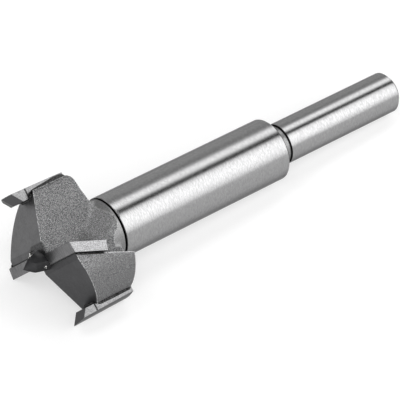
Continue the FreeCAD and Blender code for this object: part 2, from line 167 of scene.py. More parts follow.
def blend_numbers(tree, share, first, second):
    """Mixes two numbers: share 0 gives the first, and share 1 the second."""
    return put(tree, "ShaderNodeMix", (share, None, first, second)).outputs[0]


# A Mix node keeps its two colours in these inputs and gives the mixed colour at this output.
MIX_FIRST, MIX_SECOND = 6, 7
MIX_COLOUR_OUT = 2


def blend_colours(tree, share, first, second):
    """Mixes two colours, each given as a socket or as three numbers."""
    node = put(tree, "ShaderNodeMix", (share,), data_type="RGBA")
    for place, value in ((MIX_FIRST, first), (MIX_SECOND, second)):
        if isinstance(value, bpy.types.NodeSocket):
            tree.links.new(value, node.inputs[place])
        else:
            node.inputs[place].default_value = (*value, 1.0)
    return node.outputs[MIX_COLOUR_OUT]


print("maths, dot, step and blends ready")

# %% [markdown]
# ## Position along the bit
#
# Turning, grinding and blasting each cover a stretch of the bit, so the steel needs to
# know how far along the axis and how far from it a point lies. Both come from the Object
# coordinates: the dot product with the axis gives the first, and what is left over gives
# the second. The left-over part also tells how far the point lies along the cutting edge
# and towards the spur, which are the other two directions of the bit's frame. An image
# laid on the surface could hold the same finishes, but it would need an unwrapped mesh
# and would go out of place with every change of the solids.

# %% Position along and across the bit
def bit_position(tree):
    """Sockets for a point's place from the start of the axis, and for what it is made of:
    the way along the axis, the ways along the cutting edge and to the spur, and the
    distance from the axis. All are in millimetres."""
    place = put(tree, "ShaderNodeTexCoord").outputs["Object"]
    scaled = put(tree, "ShaderNodeVectorMath", (place,), operation="SCALE")
    scaled.inputs["Scale"].default_value = 1.0 / MM
    from_start = put(tree, "ShaderNodeVectorMath", (scaled.outputs[0], tuple(START)),
                     operation="SUBTRACT").outputs[0]
    along = dot(tree, from_start, AXIS)
    on_axis = put(tree, "ShaderNodeVectorMath", (tuple(AXIS),), operation="SCALE")
    tree.links.new(along, on_axis.inputs["Scale"])
    outward = put(tree, "ShaderNodeVectorMath", (from_start, on_axis.outputs[0]),
                  operation="SUBTRACT").outputs[0]
    distance = put(tree, "ShaderNodeVectorMath", (outward,), operation="LENGTH")
    return {"place": from_start, "along": along, "distance": distance.outputs["Value"],
            "edge_way": dot(tree, outward, EDGE_WAY), "spur_way": dot(tree, outward, SPUR_WAY)}


print("bit_position ready")

# %% [markdown]
# ## Steel
#
# The steel body is one turned and milled piece with several finishes. The barrel and the
# shank are ground round. The relief behind the barrel is only turned, so it is duller. The
# head is blasted to an even grain after the carbide is brazed in, and the blast stops
# short of the neck with a ragged end. The front faces are ground smooth again, and braze
# heat has darkened the middle of the head. The body could be cut into pieces with a
# material each, but the real one is one piece and its finishes fade into one another, so
# one shader holds them all. A mask is 1 where its finish is and 0 elsewhere.

# %% Helpers for masks
def all_of(tree, *masks):
    """The product of masks, which is 1 only where each of them is 1."""
    product = masks[0]
    for mask in masks[1:]:
        product = maths(tree, "MULTIPLY", product, mask)
    return product


def between(tree, value, rise, fall):
    """Rises from 0 to 1 over the first pair of values and falls back over the second."""
    return all_of(tree, step(tree, value, *rise), step(tree, value, *fall))


def add_part(tree, value, mask, amount):
    """Adds a mask to a value, as strongly as the amount says."""
    return maths(tree, "ADD", value, maths(tree, "MULTIPLY", mask, amount))


print("mask helpers ready")

# %% [markdown]
# ### Where the blast ends
#
# The blast ends on the hub in a ragged line, with a thin light rim along it. The line lies
# furthest back behind each wing, so it follows the angle round the bit, which repeats
# every half turn. Each row of the list gives two angles in degrees, and how much further
# the blast reaches past the second than before the first. A noise makes the line ragged.

# %% Ragged end of the blast
BLAST_END = 15.1
BLAST_REACHES = ((66, 94, 2.35), (98, 150, -0.95), (164, 179, -1.4))
RAGGED_CHANGES_PER_MM, RAGGED_DEPTH = 1.6, 0.9
HUB_EDGE = (7.75, 7.6)

steel, tree, shader = new_finish("bit_steel")
spot = bit_position(tree)
along, distance = spot["along"], spot["distance"]
edge_way, spur_way = spot["edge_way"], spot["spur_way"]
half_turn = maths(tree, "FLOORED_MODULO", maths(tree, "ARCTAN2", edge_way, spur_way), math.pi)
ragged = put(tree, "ShaderNodeTexNoise", (
    spot["place"], None, RAGGED_CHANGES_PER_MM, 3.0, 0.65)).outputs[0]

blast_end = BLAST_END
for first_angle, last_angle, reach in BLAST_REACHES:
    risen = step(tree, half_turn, math.radians(first_angle), math.radians(last_angle))
    blast_end = add_part(tree, blast_end, risen, reach)
blast_end = add_part(tree, blast_end, maths(tree, "SUBTRACT", ragged, 0.5), RAGGED_DEPTH)
past_blast = maths(tree, "SUBTRACT", along, blast_end)
on_hub = step(tree, distance, *HUB_EDGE)
clean_hub = all_of(tree, step(tree, past_blast, -0.04, 0.04), on_hub)
blast_rim = all_of(tree, on_hub, step(tree, maths(tree, "ABSOLUTE", past_blast), 0.22, 0.05))
print("the blast ends about", BLAST_END, "mm behind the cutting edges")

# %% [markdown]
# ### Stretches along the axis
#
# The other finishes of the turned part are rings, and so is the painted shade at the neck,
# on the shank's shoulder and on the shank's rim, so two places along the axis are enough
# for each. A pair of numbers says where the mask starts to change and where it has.

# %% Rings of the turned part
BARREL_START = (18.36, 18.39)
NECK = ((17.92, 17.96), (18.44, 18.4))
RELIEF = ((66.55, 66.65), (69.5, 69.4))
SHOULDER = ((69.1, 69.25), (69.6, 69.57))
SHANK_RIM = (103.7, 103.9)

barrel_on = step(tree, along, *BARREL_START)
# Painted shade: the neck ring is near-black, the shade of the groove and of the barrel's front
# chamfer.
neck_shade = between(tree, along, *NECK)
relief = between(tree, along, *RELIEF)
# Painted shade: the step up from the relief to the shank is a black ring.
shoulder_shade = between(tree, along, *SHOULDER)
# Painted shade: the shank's chamfered rim, seen edge-on, is dark.
shank_rim_shade = step(tree, along, *SHANK_RIM)
print("rings: barrel, neck, relief, its shoulder and the shank's rim")

# %% [markdown]
# ### Faces and places of the head
#
# The front faces are found by the way they face. The centre point, the hot middle of the
# head, the land beside each spur strip and the run-out that the milling cutter left on the
# rim of the barrel are found by their place. The land is painted near-black, for braze and
# for the shade beside the strip. The walls that face along a cutting edge got a coarse
# grain from the blast, and the other faces away from the axis a finer one.

# %% Masks of the head
FRONT_FACING, FRONT_DEPTH = (0.8, 0.86), (8.5, 8.0)
FACE_DEPTH = (0.94, 0.88)
POINT_RADIUS, POINT_FACING = (3.2, 2.9), (0.98, 0.94)
HOT_BAND = ((-3.9, -3.7), (0.6, 0.2))
HOT_RADIUS, HOT_DEPTH = (5.2, 4.6), (1.4, 1.2)
LAND_HEIGHT = (13.95, 14.1)
LAND_SIDES = ((-1.5, -1.3), (0.35, 0.2))

normal = put(tree, "ShaderNodeTexCoord").outputs["Normal"]
faces_ahead = maths(tree, "MULTIPLY", dot(tree, normal, AXIS), -1.0)
faces_along_edge = maths(tree, "ABSOLUTE", dot(tree, normal, EDGE_WAY))
front = all_of(tree, step(tree, faces_ahead, *FRONT_FACING), step(tree, along, *FRONT_DEPTH))
face = step(tree, along, *FACE_DEPTH)
point = all_of(tree, step(tree, distance, *POINT_RADIUS), face,
               step(tree, faces_ahead, *POINT_FACING))
hot = all_of(tree, between(tree, spur_way, *HOT_BAND), step(tree, distance, *HOT_RADIUS),
             step(tree, along, *HOT_DEPTH))
side = maths(tree, "MULTIPLY", edge_way, maths(tree, "SIGN", spur_way))
# Painted shade: the land beside each spur strip is made near-black, for braze and for the shade
# beside the strip.
land_braze_and_shade = all_of(tree, step(tree, maths(tree, "ABSOLUTE", spur_way), *LAND_HEIGHT),
              *(step(tree, side, *limits) for limits in LAND_SIDES))
finer = all_of(tree, step(tree, faces_along_edge, 0.93, 0.85), step(tree, distance, 7.6, 8.5))
print("masks: front, point, hot middle, lands and finer faces")

# %% [markdown]
# The milling cutter ran out twice: into the hub, where the slanted floor it left was struck
# full on by the blast, and a little way into the rim of the barrel beside each wall. The
# second run-out is a scallop less than a millimetre deep, so it is only a change of
# finish. Its edge follows the angle from the wall, as the ragged end of the blast does.

# %% Run-outs of the milling cutter
RIM_WALL_ANGLE = math.radians(105)
RIM_HALF_WIDTH = math.radians(14)
RIM_DEPTH, RIM_PLACE = 0.62, 18.4

cutter_run_out = all_of(tree, step(tree, faces_ahead, 0.2, 0.4), step(tree, along, 10.5, 13.0))
beside_plate = step(tree, maths(tree, "ABSOLUTE", edge_way), 11.0, 14.0)
off_wall = maths(tree, "PINGPONG", maths(tree, "SUBTRACT", half_turn, RIM_WALL_ANGLE),
                 math.pi / 2)
rim_depth = maths(tree, "MULTIPLY", step(tree, off_wall, RIM_HALF_WIDTH, 0.0), RIM_DEPTH)
rim_depth = maths(tree, "SUBTRACT", rim_depth, maths(tree, "SUBTRACT", along, RIM_PLACE))
run_out = all_of(tree, step(tree, rim_depth, 0.0, 0.12), barrel_on)
print("run-outs on the hub and on the barrel's rim")

# %% [markdown]
# ### Worn edges with a painted highlight
#
# A Bevel node finds the edges: close to one it gives a rounded normal, which is then no
# longer the same as the true one. That is quicker than a mask painted by hand, and it
# stays right when a size of the bit changes.

# %% Worn edges with a painted highlight
def edge_mask(tree, radius, none, full):
    """Finds edges: 0 where the surface is flat and 1 close to a corner. The radius is in
    metres, and none and full are the agreement of the two normals at 0 and at 1."""
    rounded = put(tree, "ShaderNodeBevel", (radius,), samples=4).outputs[0]
    true = put(tree, "ShaderNodeNewGeometry").outputs["Normal"]
    agreement = put(tree, "ShaderNodeVectorMath", (rounded, true), operation="DOT_PRODUCT")
    return step(tree, agreement.outputs["Value"], none, full)


# These edges carry wear and a painted highlight.
worn = edge_mask(tree, 0.4 * MM, 0.96, 0.88)
print("worn edges found")

# %% [markdown]
# ### Grinding lines and blasted grain
#
# Grinding leaves short fine lines across the bit. They are noise that changes quickly
# along the axis and slowly round it. The blasted grain is the same in every direction.

# %% Noises of the steel
def stretched_noise(tree, spot, along_rate, edge_rate, spur_rate):
    """Noise with its own number of changes per millimetre in each way of the bit's frame."""
    stretched = put(tree, "ShaderNodeCombineXYZ", (
        maths(tree, "MULTIPLY", spot["along"], along_rate),
        maths(tree, "MULTIPLY", spot["edge_way"], edge_rate),
        maths(tree, "MULTIPLY", spot["spur_way"], spur_rate))).outputs[0]
    return put(tree, "ShaderNodeTexNoise", (stretched, None, 1.0, 3.0, 0.7)).outputs[0]


def even_noise(tree, spot, rate, roughness=0.6):
    """Noise that changes as quickly in every way, with rate changes per millimetre."""
    return put(tree, "ShaderNodeTexNoise", (
        spot["place"], None, rate, 2.0, roughness)).outputs[0]


lines = stretched_noise(tree, spot, 4.6, 1.3, 1.3)
streaks = stretched_noise(tree, spot, 0.9, 0.25, 0.25)
grain = even_noise(tree, spot, 5.0, 0.75)
fine_grain = even_noise(tree, spot, 9.0)
clouds = even_noise(tree, spot, 0.35)
mottle = even_noise(tree, spot, 2.2, 0.7)
speckle = add_part(tree, maths(tree, "MULTIPLY", grain, 0.65), fine_grain, 0.35)
flecks = step(tree, speckle, 0.42, 0.61)
flecks = blend_numbers(tree, finer, flecks, blend_numbers(tree, 0.3, flecks, 0.47))
print("noises: lines, streaks, grain, clouds, mottle and flecks")

# %% [markdown]
# ### Colour of the steel
#
# Each finish goes from one grey to another as its noise says. Blasted steel is darker than
# ground steel, with light flecks where a grain has just cut it. It is lighter where the
# blast struck full on. The ground front faces are dark from braze heat, and the first
# wing's front is darker than the second's by painted shade.

# %% Greys of each finish
GROUND = ((0.264, 0.264, 0.267), (0.351, 0.351, 0.351))
TURNED = ((0.17, 0.17, 0.172), (0.29, 0.29, 0.29))
BLASTED = ((0.08, 0.081, 0.083), (0.385, 0.385, 0.387))
BLASTED_FULL_ON = ((0.15, 0.15, 0.153), (0.53, 0.53, 0.533))
# The first wing's darker front is painted shade.
SECOND_AND_SHADED_FIRST_FRONT = ((0.2, 0.2, 0.203), (0.125, 0.125, 0.128))
STAIN = (0.03, 0.03, 0.031)
HOT = ((0.05, 0.05, 0.05), (0.125, 0.125, 0.127))
POINT_TIP_AND_FOOT = ((0.057, 0.057, 0.059), (0.17, 0.17, 0.172))

ground_colour = blend_colours(tree, step(tree, lines, 0.25, 0.75), *GROUND)
turned_colour = blend_colours(tree, step(tree, speckle, 0.4, 0.6), *TURNED)
blast_colour = blend_colours(tree, flecks, *BLASTED)
full_blast = blend_colours(tree, flecks, *BLASTED_FULL_ON)
# Painted shade: this mask makes the first wing's front face darker than the second's.
first_wing_shaded = step(tree, spur_way, -1.0, 1.0)
stain = maths(tree, "MULTIPLY", step(tree, clouds, 0.35, 0.65), 0.1)
stain = add_part(tree, stain, step(tree, mottle, 0.35, 0.65), 0.16)
stain = add_part(tree, stain, face, 0.2)
front_colour = blend_colours(tree, first_wing_shaded, *SECOND_AND_SHADED_FIRST_FRONT)
front_colour = blend_colours(tree, stain, front_colour, STAIN)
hot_colour = blend_colours(tree, step(tree, mottle, 0.3, 0.6), *HOT)
point_foot = all_of(tree, step(tree, along, -0.9, 0.1), step(tree, spur_way, -0.2, -1.4))
point_colour = blend_colours(tree, point_foot, *POINT_TIP_AND_FOOT)
print("greys of the ground, turned, blasted and heated steel")

# %% [markdown]
# The finishes are laid over one another, each where its mask is 1, in the order in which
# the work was done: first the blast, then the grinding. Painted shade goes on last: near-black
# on the land beside each strip, where braze lies too, and dark rings on the shank's shoulder,
# on the shank's rim and in the neck. Only the head's own edges get worn light, a painted
# highlight on worn metal, and only where a grain struck them.

# %% Finishes laid over one another
# Painted highlight on worn edges: near-white where a grain struck them.
edge_wear_and_highlight = all_of(
    tree, worn, step(tree, speckle, 0.46, 0.52),
    maths(tree, "MAXIMUM", step(tree, along, 12.0, 11.5), step(tree, distance, 7.5, 7.9)),
    step(tree, along, 17.0, 16.5))
COLOUR_LAYERS = (
    (clean_hub, turned_colour),
    (all_of(tree, blast_rim, flecks), (0.5, 0.5, 0.5)),
    (barrel_on, ground_colour),
    (relief, turned_colour),
    (run_out, blast_colour),
    (edge_wear_and_highlight, (0.9, 0.9, 0.9)),
    (front, front_colour),
    (hot, hot_colour),
    (point, point_colour),
    # braze and painted shade: the land beside each strip is near-black
    (land_braze_and_shade, (0.03, 0.03, 0.031)),
    # painted shade in the shoulder's step
    (shoulder_shade, (0.02, 0.02, 0.02)),
    # painted shade on the shank's chamfered rim
    (shank_rim_shade, (0.12, 0.12, 0.12)),
    # painted shade in the neck ring
    (neck_shade, (0.006, 0.006, 0.006)),
)
struck_full_on = maths(tree, "MAXIMUM", cutter_run_out,
                       maths(tree, "MULTIPLY", beside_plate, 0.45))
colour = blend_colours(tree, struck_full_on, blast_colour, full_blast)
for mask, grey in COLOUR_LAYERS:
    colour = blend_colours(tree, mask, colour, grey)
tree.links.new(colour, shader.inputs["Base Color"])
shader.inputs["Metallic"].default_value = 1.0
shader.inputs["Specular Tint"].default_value = (0.4, 0.4, 0.4, 1.0)
print(len(COLOUR_LAYERS), "layers over the blast")

# %% [markdown]
# ### Roughness and relief of the steel
#
# The blast is by far the roughest finish, and the ground barrel the smoothest, with dull
# and bright streaks. The relief of grain and lines is far too fine to model, so a Bump
# node tilts the shading instead, from the same noises as the colour.

# %% Roughness and relief of the steel
BLAST_ROUGHNESS, HUB_ROUGHNESS = 0.6, 0.42
LINE_HEIGHT = 0.024
ROUGHNESS_LAYERS = (
    (barrel_on, blend_numbers(tree, streaks, 0.15, 0.23)),
    (relief, 0.4),
    (run_out, 0.5),
    (front, 0.4),
    (maths(tree, "MAXIMUM", shoulder_shade, shank_rim_shade), 0.6),
    (neck_shade, 0.8),
)


def add_relief(tree, shader, height, strength, depth):
    """Tilts the shading as if height, from 0 to 1, were as deep as depth, in metres."""
    bump = put(tree, "ShaderNodeBump")
    bump.inputs["Strength"].default_value = strength
    bump.inputs["Distance"].default_value = depth
    tree.links.new(height, bump.inputs["Height"])
    tree.links.new(bump.outputs[0], shader.inputs["Normal"])


rough = blend_numbers(tree, clean_hub, BLAST_ROUGHNESS, HUB_ROUGHNESS)
for mask, level in ROUGHNESS_LAYERS:
    rough = blend_numbers(tree, mask, rough, level)
tree.links.new(rough, shader.inputs["Roughness"])
smooth = maths(tree, "MAXIMUM", maths(tree, "MAXIMUM", clean_hub, barrel_on), front)
height = blend_numbers(tree, smooth, speckle, maths(tree, "MULTIPLY", lines, LINE_HEIGHT))
add_relief(tree, shader, height, 0.8, 0.16 * MM)
print("steel finish:", len(tree.nodes), "nodes")

# %% [markdown]
# ## Carbide
#
# The plates and strips are sintered tungsten carbide, ground on every face. It is a dark,
# dense grey that takes a smooth sheen, and the grinding wheel leaves very fine lines. The
# sides of the plates and strips were ground with a coarser wheel, so they sparkle. The
# front of each spur tooth and the outside of the strips are ground finest and look darkest.
# Each face could have its own material, but then faces would have to be picked by hand.
# One shader finds them by the way they face, for both plates and both strips.

# %% Faces of the carbide
STRIP_HEIGHT = (10.0, 11.0)
SEAM_PLACE, SEAM_WIDTH = 4.5, (0.16, 0.08)

carbide, tree, shader = new_finish("bit_carbide")
spot = bit_position(tree)
normal = put(tree, "ShaderNodeTexCoord").outputs["Normal"]
sideways = step(tree, maths(tree, "ABSOLUTE", dot(tree, normal, EDGE_WAY)), 0.85, 0.95)
faces_out = step(tree, maths(tree, "ABSOLUTE", dot(tree, normal, SPUR_WAY)), 0.85, 0.92)
faces_ahead = maths(tree, "MULTIPLY", dot(tree, normal, AXIS), -1.0)
on_strip = step(tree, maths(tree, "ABSOLUTE", spot["spur_way"]), *STRIP_HEIGHT)
tooth_front = all_of(tree, on_strip, step(tree, faces_ahead, 0.4, 0.5))
outside = all_of(tree, on_strip, faces_out)
from_seam = maths(tree, "ABSOLUTE", maths(tree, "SUBTRACT", spot["along"], SEAM_PLACE))
tooth_seam = all_of(tree, sideways, step(tree, from_seam, *SEAM_WIDTH), on_strip)
print("sides, tooth fronts, outsides and seams found")

# %% [markdown]
# Fine grain and the lines of the wheel share one noise for the ground faces, and a
# coarser one sparkles on the sides. The edges are a little dull, because a cutting edge
# is honed after grinding.

# %% Colour and relief of the carbide
GROUND_FINE = ((0.15, 0.15, 0.153), (0.245, 0.245, 0.248))
PLATE_SIDE = ((0.13, 0.13, 0.133), (0.33, 0.33, 0.333))
STRIP_SIDE = ((0.12, 0.12, 0.122), (0.235, 0.235, 0.237))

sparkle = step(tree, even_noise(tree, spot, 5.0, 0.75), 0.38, 0.64)
patches = even_noise(tree, spot, 0.6)
wheel = stretched_noise(tree, spot, 0.4, 3.6, 0.4)
wheel_marks = add_part(tree, maths(tree, "MULTIPLY", even_noise(tree, spot, 8.0), 0.3),
                       wheel, 0.7)
side_tone = blend_colours(tree, on_strip, blend_colours(tree, sparkle, *PLATE_SIDE),
                          blend_colours(tree, sparkle, *STRIP_SIDE))
TONE_LAYERS = (
    (sideways, side_tone),
    (tooth_front, (0.085, 0.085, 0.087)),
    (outside, (0.16, 0.16, 0.162)),
    (tooth_seam, (0.03, 0.03, 0.03)),
    (edge_mask(tree, 0.12 * MM, 0.99, 0.92), (0.1, 0.1, 0.102)),
)
tone = blend_colours(tree, step(tree, wheel_marks, 0.38, 0.62), *GROUND_FINE)
for mask, grey in TONE_LAYERS:
    tone = blend_colours(tree, mask, tone, grey)
tree.links.new(tone, shader.inputs["Base Color"])
shader.inputs["Metallic"].default_value = 1.0
shader.inputs["Specular Tint"].default_value = (0.5, 0.5, 0.5, 1.0)
tree.links.new(blend_numbers(tree, patches, 0.26, 0.36), shader.inputs["Roughness"])
add_relief(tree, shader, wheel_marks, 0.2, 0.02 * MM)

for name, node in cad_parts.items():
    node.data.materials[0] = steel if name == "steel_body" else carbide
print("carbide finish:", len(tree.nodes), "nodes")

# %% [markdown]
# ## Braze
#
# The carbide is held by silver braze. The solids leave a thin film of space for it, and
# where the film meets the outside the braze stands as a small uneven bead, burnt dark by
# flux or, farther from the flame, a dull grey. The burnt beads are near-black, which also
# paints the shade in the joints they lie in. Here and there a droplet of silver stays
# bright. The two crusted finishes differ only in their greys, so one function makes both.

# %% Braze finishes
def crusted_braze(name, pits, crests):
    """A braze finish whose grey goes from the level of its pits to that of its crests."""
    finish, tree, shader = new_finish(name)
    spot = bit_position(tree)
    crust = put(tree, "ShaderNodeTexNoise", (spot["place"], None, 3.5, 3.0, 0.6)).outputs[0]
    tree.links.new(blend_colours(tree, step(tree, crust, 0.42, 0.64), (pits,) * 3,
                                 (crests,) * 3), shader.inputs["Base Color"])
    shader.inputs["Metallic"].default_value = 1.0
    shader.inputs["Roughness"].default_value = 0.55
    add_relief(tree, shader, crust, 0.6, 0.1 * MM)
    return finish


# The burnt braze is near-black: braze burnt by flux, and painted shade in the joints.
burnt_and_shade = crusted_braze("braze_burnt_and_shade", 0.01, 0.1)
dull = crusted_braze("braze_dull", 0.04, 0.12)

TARNISHED, BRIGHT = (0.2, 0.2, 0.19), (0.85, 0.84, 0.82)
silver, tree, shader = new_finish("braze_silver")
spot = bit_position(tree)
tarnish = even_noise(tree, spot, 3.0, 0.5)
tree.links.new(blend_colours(tree, step(tree, tarnish, 0.3, 0.55), TARNISHED, BRIGHT),
               shader.inputs["Base Color"])
shader.inputs["Metallic"].default_value = 1.0
shader.inputs["Roughness"].default_value = 0.25
print("braze finishes: burnt, dull and silver")

# %% [markdown]
# ### The bead as a rule
#
# A bead could be a tube modelled by hand, but its shape is a rule: follow the joint, swell
# and thin at random, and round off both ends. So it is a Geometry Nodes tree. It turns the
# joint's line into a curve, gives each point of the curve a radius from the joint's own
# value, a noise and the distance to the nearer end, and sweeps a circle along. The inputs
# are named, and the seed is fixed, so the same bead comes out each time.
#
# Two helpers open and close such a tree, and a third runs it and keeps the finished mesh.

# %% Helpers that open and close a shape tree
def new_shape_tree(name, inputs):
    """A Geometry Nodes tree with one geometry input, named number inputs and a material."""
    tree = bpy.data.node_groups.new(name, "GeometryNodeTree")
    tree.interface.new_socket("Line", in_out="INPUT", socket_type="NodeSocketGeometry")
    for label, value in inputs.items():
        whole = isinstance(value, int)
        socket = tree.interface.new_socket(
            label, in_out="INPUT", socket_type="NodeSocketInt" if whole else "NodeSocketFloat")
        socket.default_value = value
    tree.interface.new_socket("Finish", in_out="INPUT", socket_type="NodeSocketMaterial")
    tree.interface.new_socket("Shape", in_out="OUTPUT", socket_type="NodeSocketGeometry")
    entry = tree.nodes.new("NodeGroupInput").outputs
    return tree, entry


def end_shape_tree(tree, geometry, finish):
    """Smooths the shading, makes instances real, and sets the finish."""
    geometry = put(tree, "GeometryNodeSetShadeSmooth", (geometry,)).outputs[0]
    geometry = put(tree, "GeometryNodeRealizeInstances", (geometry,)).outputs[0]
    geometry = put(tree, "GeometryNodeSetMaterial", (geometry, None, finish)).outputs[0]
    tree.links.new(geometry, tree.nodes.new("NodeGroupOutput").inputs[0])


print("shape tree helpers ready")

# %% Helper that grows a piece
def grow(name, points, tree, values, finish, radii=()):
    """Runs a shape tree on a line through points of the bit's frame, and keeps the mesh.
    A tree that wants a radius at each point gets the radii, in millimetres."""
    line = bpy.data.meshes.new(name)
    line.from_pydata([on_bit(*point) for point in points],
                     [(number, number + 1) for number in range(len(points) - 1)], [])
    if radii:
        wanted = line.attributes.new("bead_radius", "FLOAT", "POINT")
        wanted.data.foreach_set("value", [radius * MM for radius in radii])
    made = bpy.data.objects.new(name, line)
    bpy.context.scene.collection.objects.link(made)
    modifier = made.modifiers.new("shape", "NODES")
    modifier.node_group = tree
    sockets = {item.name: item.identifier for item in tree.interface.items_tree
               if item.in_out == "INPUT"}
    for label, value in values.items():
        modifier[sockets[label]] = value
    modifier[sockets["Finish"]] = finish
    ready = made.evaluated_get(bpy.context.evaluated_depsgraph_get())
    made_mesh = bpy.data.meshes.new_from_object(ready)
    made.modifiers.remove(modifier)
    made.data = made_mesh
    made_mesh.name = name
    return made


print("grow ready")

# %% [markdown]
# ### The bead tree
#
# The line is first cut into short even steps. A circle of radius 1 is swept along it, and
# the radius at each step scales it. An end begins at 0.3 of the joint's radius and reaches
# all of it a little way in, which rounds the end off.

# %% The bead tree
BEAD_INPUTS = {"Spacing": 0.12 * MM, "Swell": 0.9, "Lumps per metre": 900.0,
               "Roundness": 10, "Seed": 1.0}
END_SHARE, END_LENGTH = 0.3, 2.0

bead_tree, entry = new_shape_tree("braze_bead", BEAD_INPUTS)
curve = put(bead_tree, "GeometryNodeMeshToCurve", (entry["Line"],)).outputs[0]
curve = put(bead_tree, "GeometryNodeResampleCurve", (curve, None, None, entry["Spacing"]),
            mode="LENGTH").outputs[0]
joint_radius = put(bead_tree, "GeometryNodeInputNamedAttribute", ("bead_radius",),
                   data_type="FLOAT").outputs[0]
position = put(bead_tree, "GeometryNodeInputPosition").outputs[0]
lumps = put(bead_tree, "ShaderNodeTexNoise", (
    position, entry["Seed"], entry["Lumps per metre"], 2.0, 0.6),
    noise_dimensions="4D").outputs[0]
swell = maths(bead_tree, "MULTIPLY", maths(bead_tree, "SUBTRACT", lumps, 0.5), entry["Swell"])
print("the line is cut into steps, and each step has its swell")

# %% Radius and tube of the bead
travelled = put(bead_tree, "GeometryNodeSplineParameter").outputs["Length"]
whole = put(bead_tree, "GeometryNodeSplineLength").outputs["Length"]
to_end = maths(bead_tree, "MINIMUM", travelled,
               maths(bead_tree, "SUBTRACT", whole, travelled))
end_rise = maths(bead_tree, "DIVIDE", to_end,
                 maths(bead_tree, "MULTIPLY", joint_radius, END_LENGTH))
rounding = maths(bead_tree, "MINIMUM", 1.0, maths(bead_tree, "ADD", END_SHARE, end_rise))
radius = maths(bead_tree, "MULTIPLY", maths(bead_tree, "MULTIPLY", joint_radius, rounding),
               maths(bead_tree, "ADD", 1.0, swell))
circle = put(bead_tree, "GeometryNodeCurvePrimitiveCircle", (entry["Roundness"],))
circle.inputs["Radius"].default_value = 1.0
tube = put(bead_tree, "GeometryNodeCurveToMesh", (curve, circle.outputs[0], radius, True))
end_shape_tree(bead_tree, tube.outputs[0], entry["Finish"])
print("bead tree:", len(bead_tree.nodes), "nodes")

# %% [markdown]
# The joints: under the outer end of a cutting plate, behind its ground flank, round its
# inner end, in the two corners between a spur strip and the wing, and round the foot of
# the spur tooth on the front face. Each joint is given by its corners in the bit's frame,
# by the bead's radius at each, by how unevenly it swells and by its finish. The same
# joints come again half a turn round for the second wing. Three beads differ from wing to
# wing: the flank's is burnt and thicker on the first wing and thin and dull on the second,
# which paints the shade that falls on the first wing's flank, and a crust of flux has run
# round the droplets beside the second plate.

# %% Beads along the joints
JOINTS = {
    "plate_rim": ([(0.6, 14.5, 1.9), (7.5, 13.75, 4.5)], (0.3, 0.2), 0.4, burnt_and_shade),
    "plate_inner": ([(0.9, 2.75, 1.7), (0.75, 2.72, -0.6)], (0.42, 0.3), 0.9, burnt_and_shade),
    "strip_rim": ([(5.3, 5.25, 13.75), (9.0, 5.25, 13.75), (14.4, 5.25, 13.78)],
                  (0.36, 0.42, 0.36), 0.35, burnt_and_shade),
    "tooth_foot": ([(5.1, -0.35, 14.35), (4.85, -0.3, 13.75), (4.72, 0.5, 13.2),
                    (4.7, 5.0, 13.2)], (0.34, 0.36, 0.4, 0.28), 1.1, burnt_and_shade),
    "strip_back": ([(5.3, -0.3, 14.4), (7.0, -0.3, 14.6), (9.8, -0.35, 14.7),
                    (12.0, -0.4, 14.88), (13.6, -0.4, 14.92), (14.7, -0.3, 14.7)],
                   (0.4, 0.5, 0.58, 0.68, 0.6, 0.3), 0.3, dull),
}
ONE_WING = {
    # Painted shade: the first wing's flank bead is burnt and thicker, the second's thin and
    # dull.
    "plate_flank_1": ([(0.82, 3.0, 1.78), (0.82, 14.35, 1.78)], (0.2, 0.14), 0.5, burnt_and_shade),
    "plate_flank_2": ([(0.82, -3.0, -1.78), (0.82, -14.35, -1.78)], (0.12, 0.07), 0.5, dull),
    "flux_crust_2": ([(0.85, -5.0, -2.0), (0.85, -4.8, -2.4), (0.85, -4.1, -2.75),
                      (0.85, -3.2, -2.85), (0.85, -2.6, -2.7)],
                     (0.12, 0.17, 0.15, 0.13, 0.09), 1.4, burnt_and_shade),
}
WINGS = (("1", 1), ("2", -1))
SEED_STEP = 3.7

runs = dict(ONE_WING)
for wing, turned in WINGS:
    for name, (corners, radii, swell, finish) in JOINTS.items():
        placed = [(along_it, turned * across, turned * up) for along_it, across, up in corners]
        runs[f"{name}_{wing}"] = (placed, radii, swell, finish)
beads = []
for name, (corners, radii, swell, finish) in runs.items():
    beads.append(grow(f"braze_{name}", corners, bead_tree,
                      {"Swell": swell, "Seed": SEED_STEP * len(beads)}, finish, radii))
print(len(beads), "beads,", sum(len(piece.data.polygons) for piece in beads), "faces")

# %% [markdown]
# ### Droplets of silver
#
# Where the plates end beside the point, drops of braze have run together and stayed
# bright. Twenty of them could be set by hand, but nobody would see which is where, only
# that no two are alike. So a second tree scatters small balls about a place, each with its
# own size and pressed out of round by a noise, again from named inputs and a seed. The
# place is the middle of the short line that the tree is run on.

# %% Scattered droplets
DROP_INPUTS = {"Count": 9, "Spread": 0.56 * MM, "Smallest": 0.1 * MM, "Largest": 0.3 * MM,
               "Dents per metre": 2500.0, "Seed": 1}
SIZE_SEED_STEP = 9.0
BALL_SUBDIVISIONS = 3

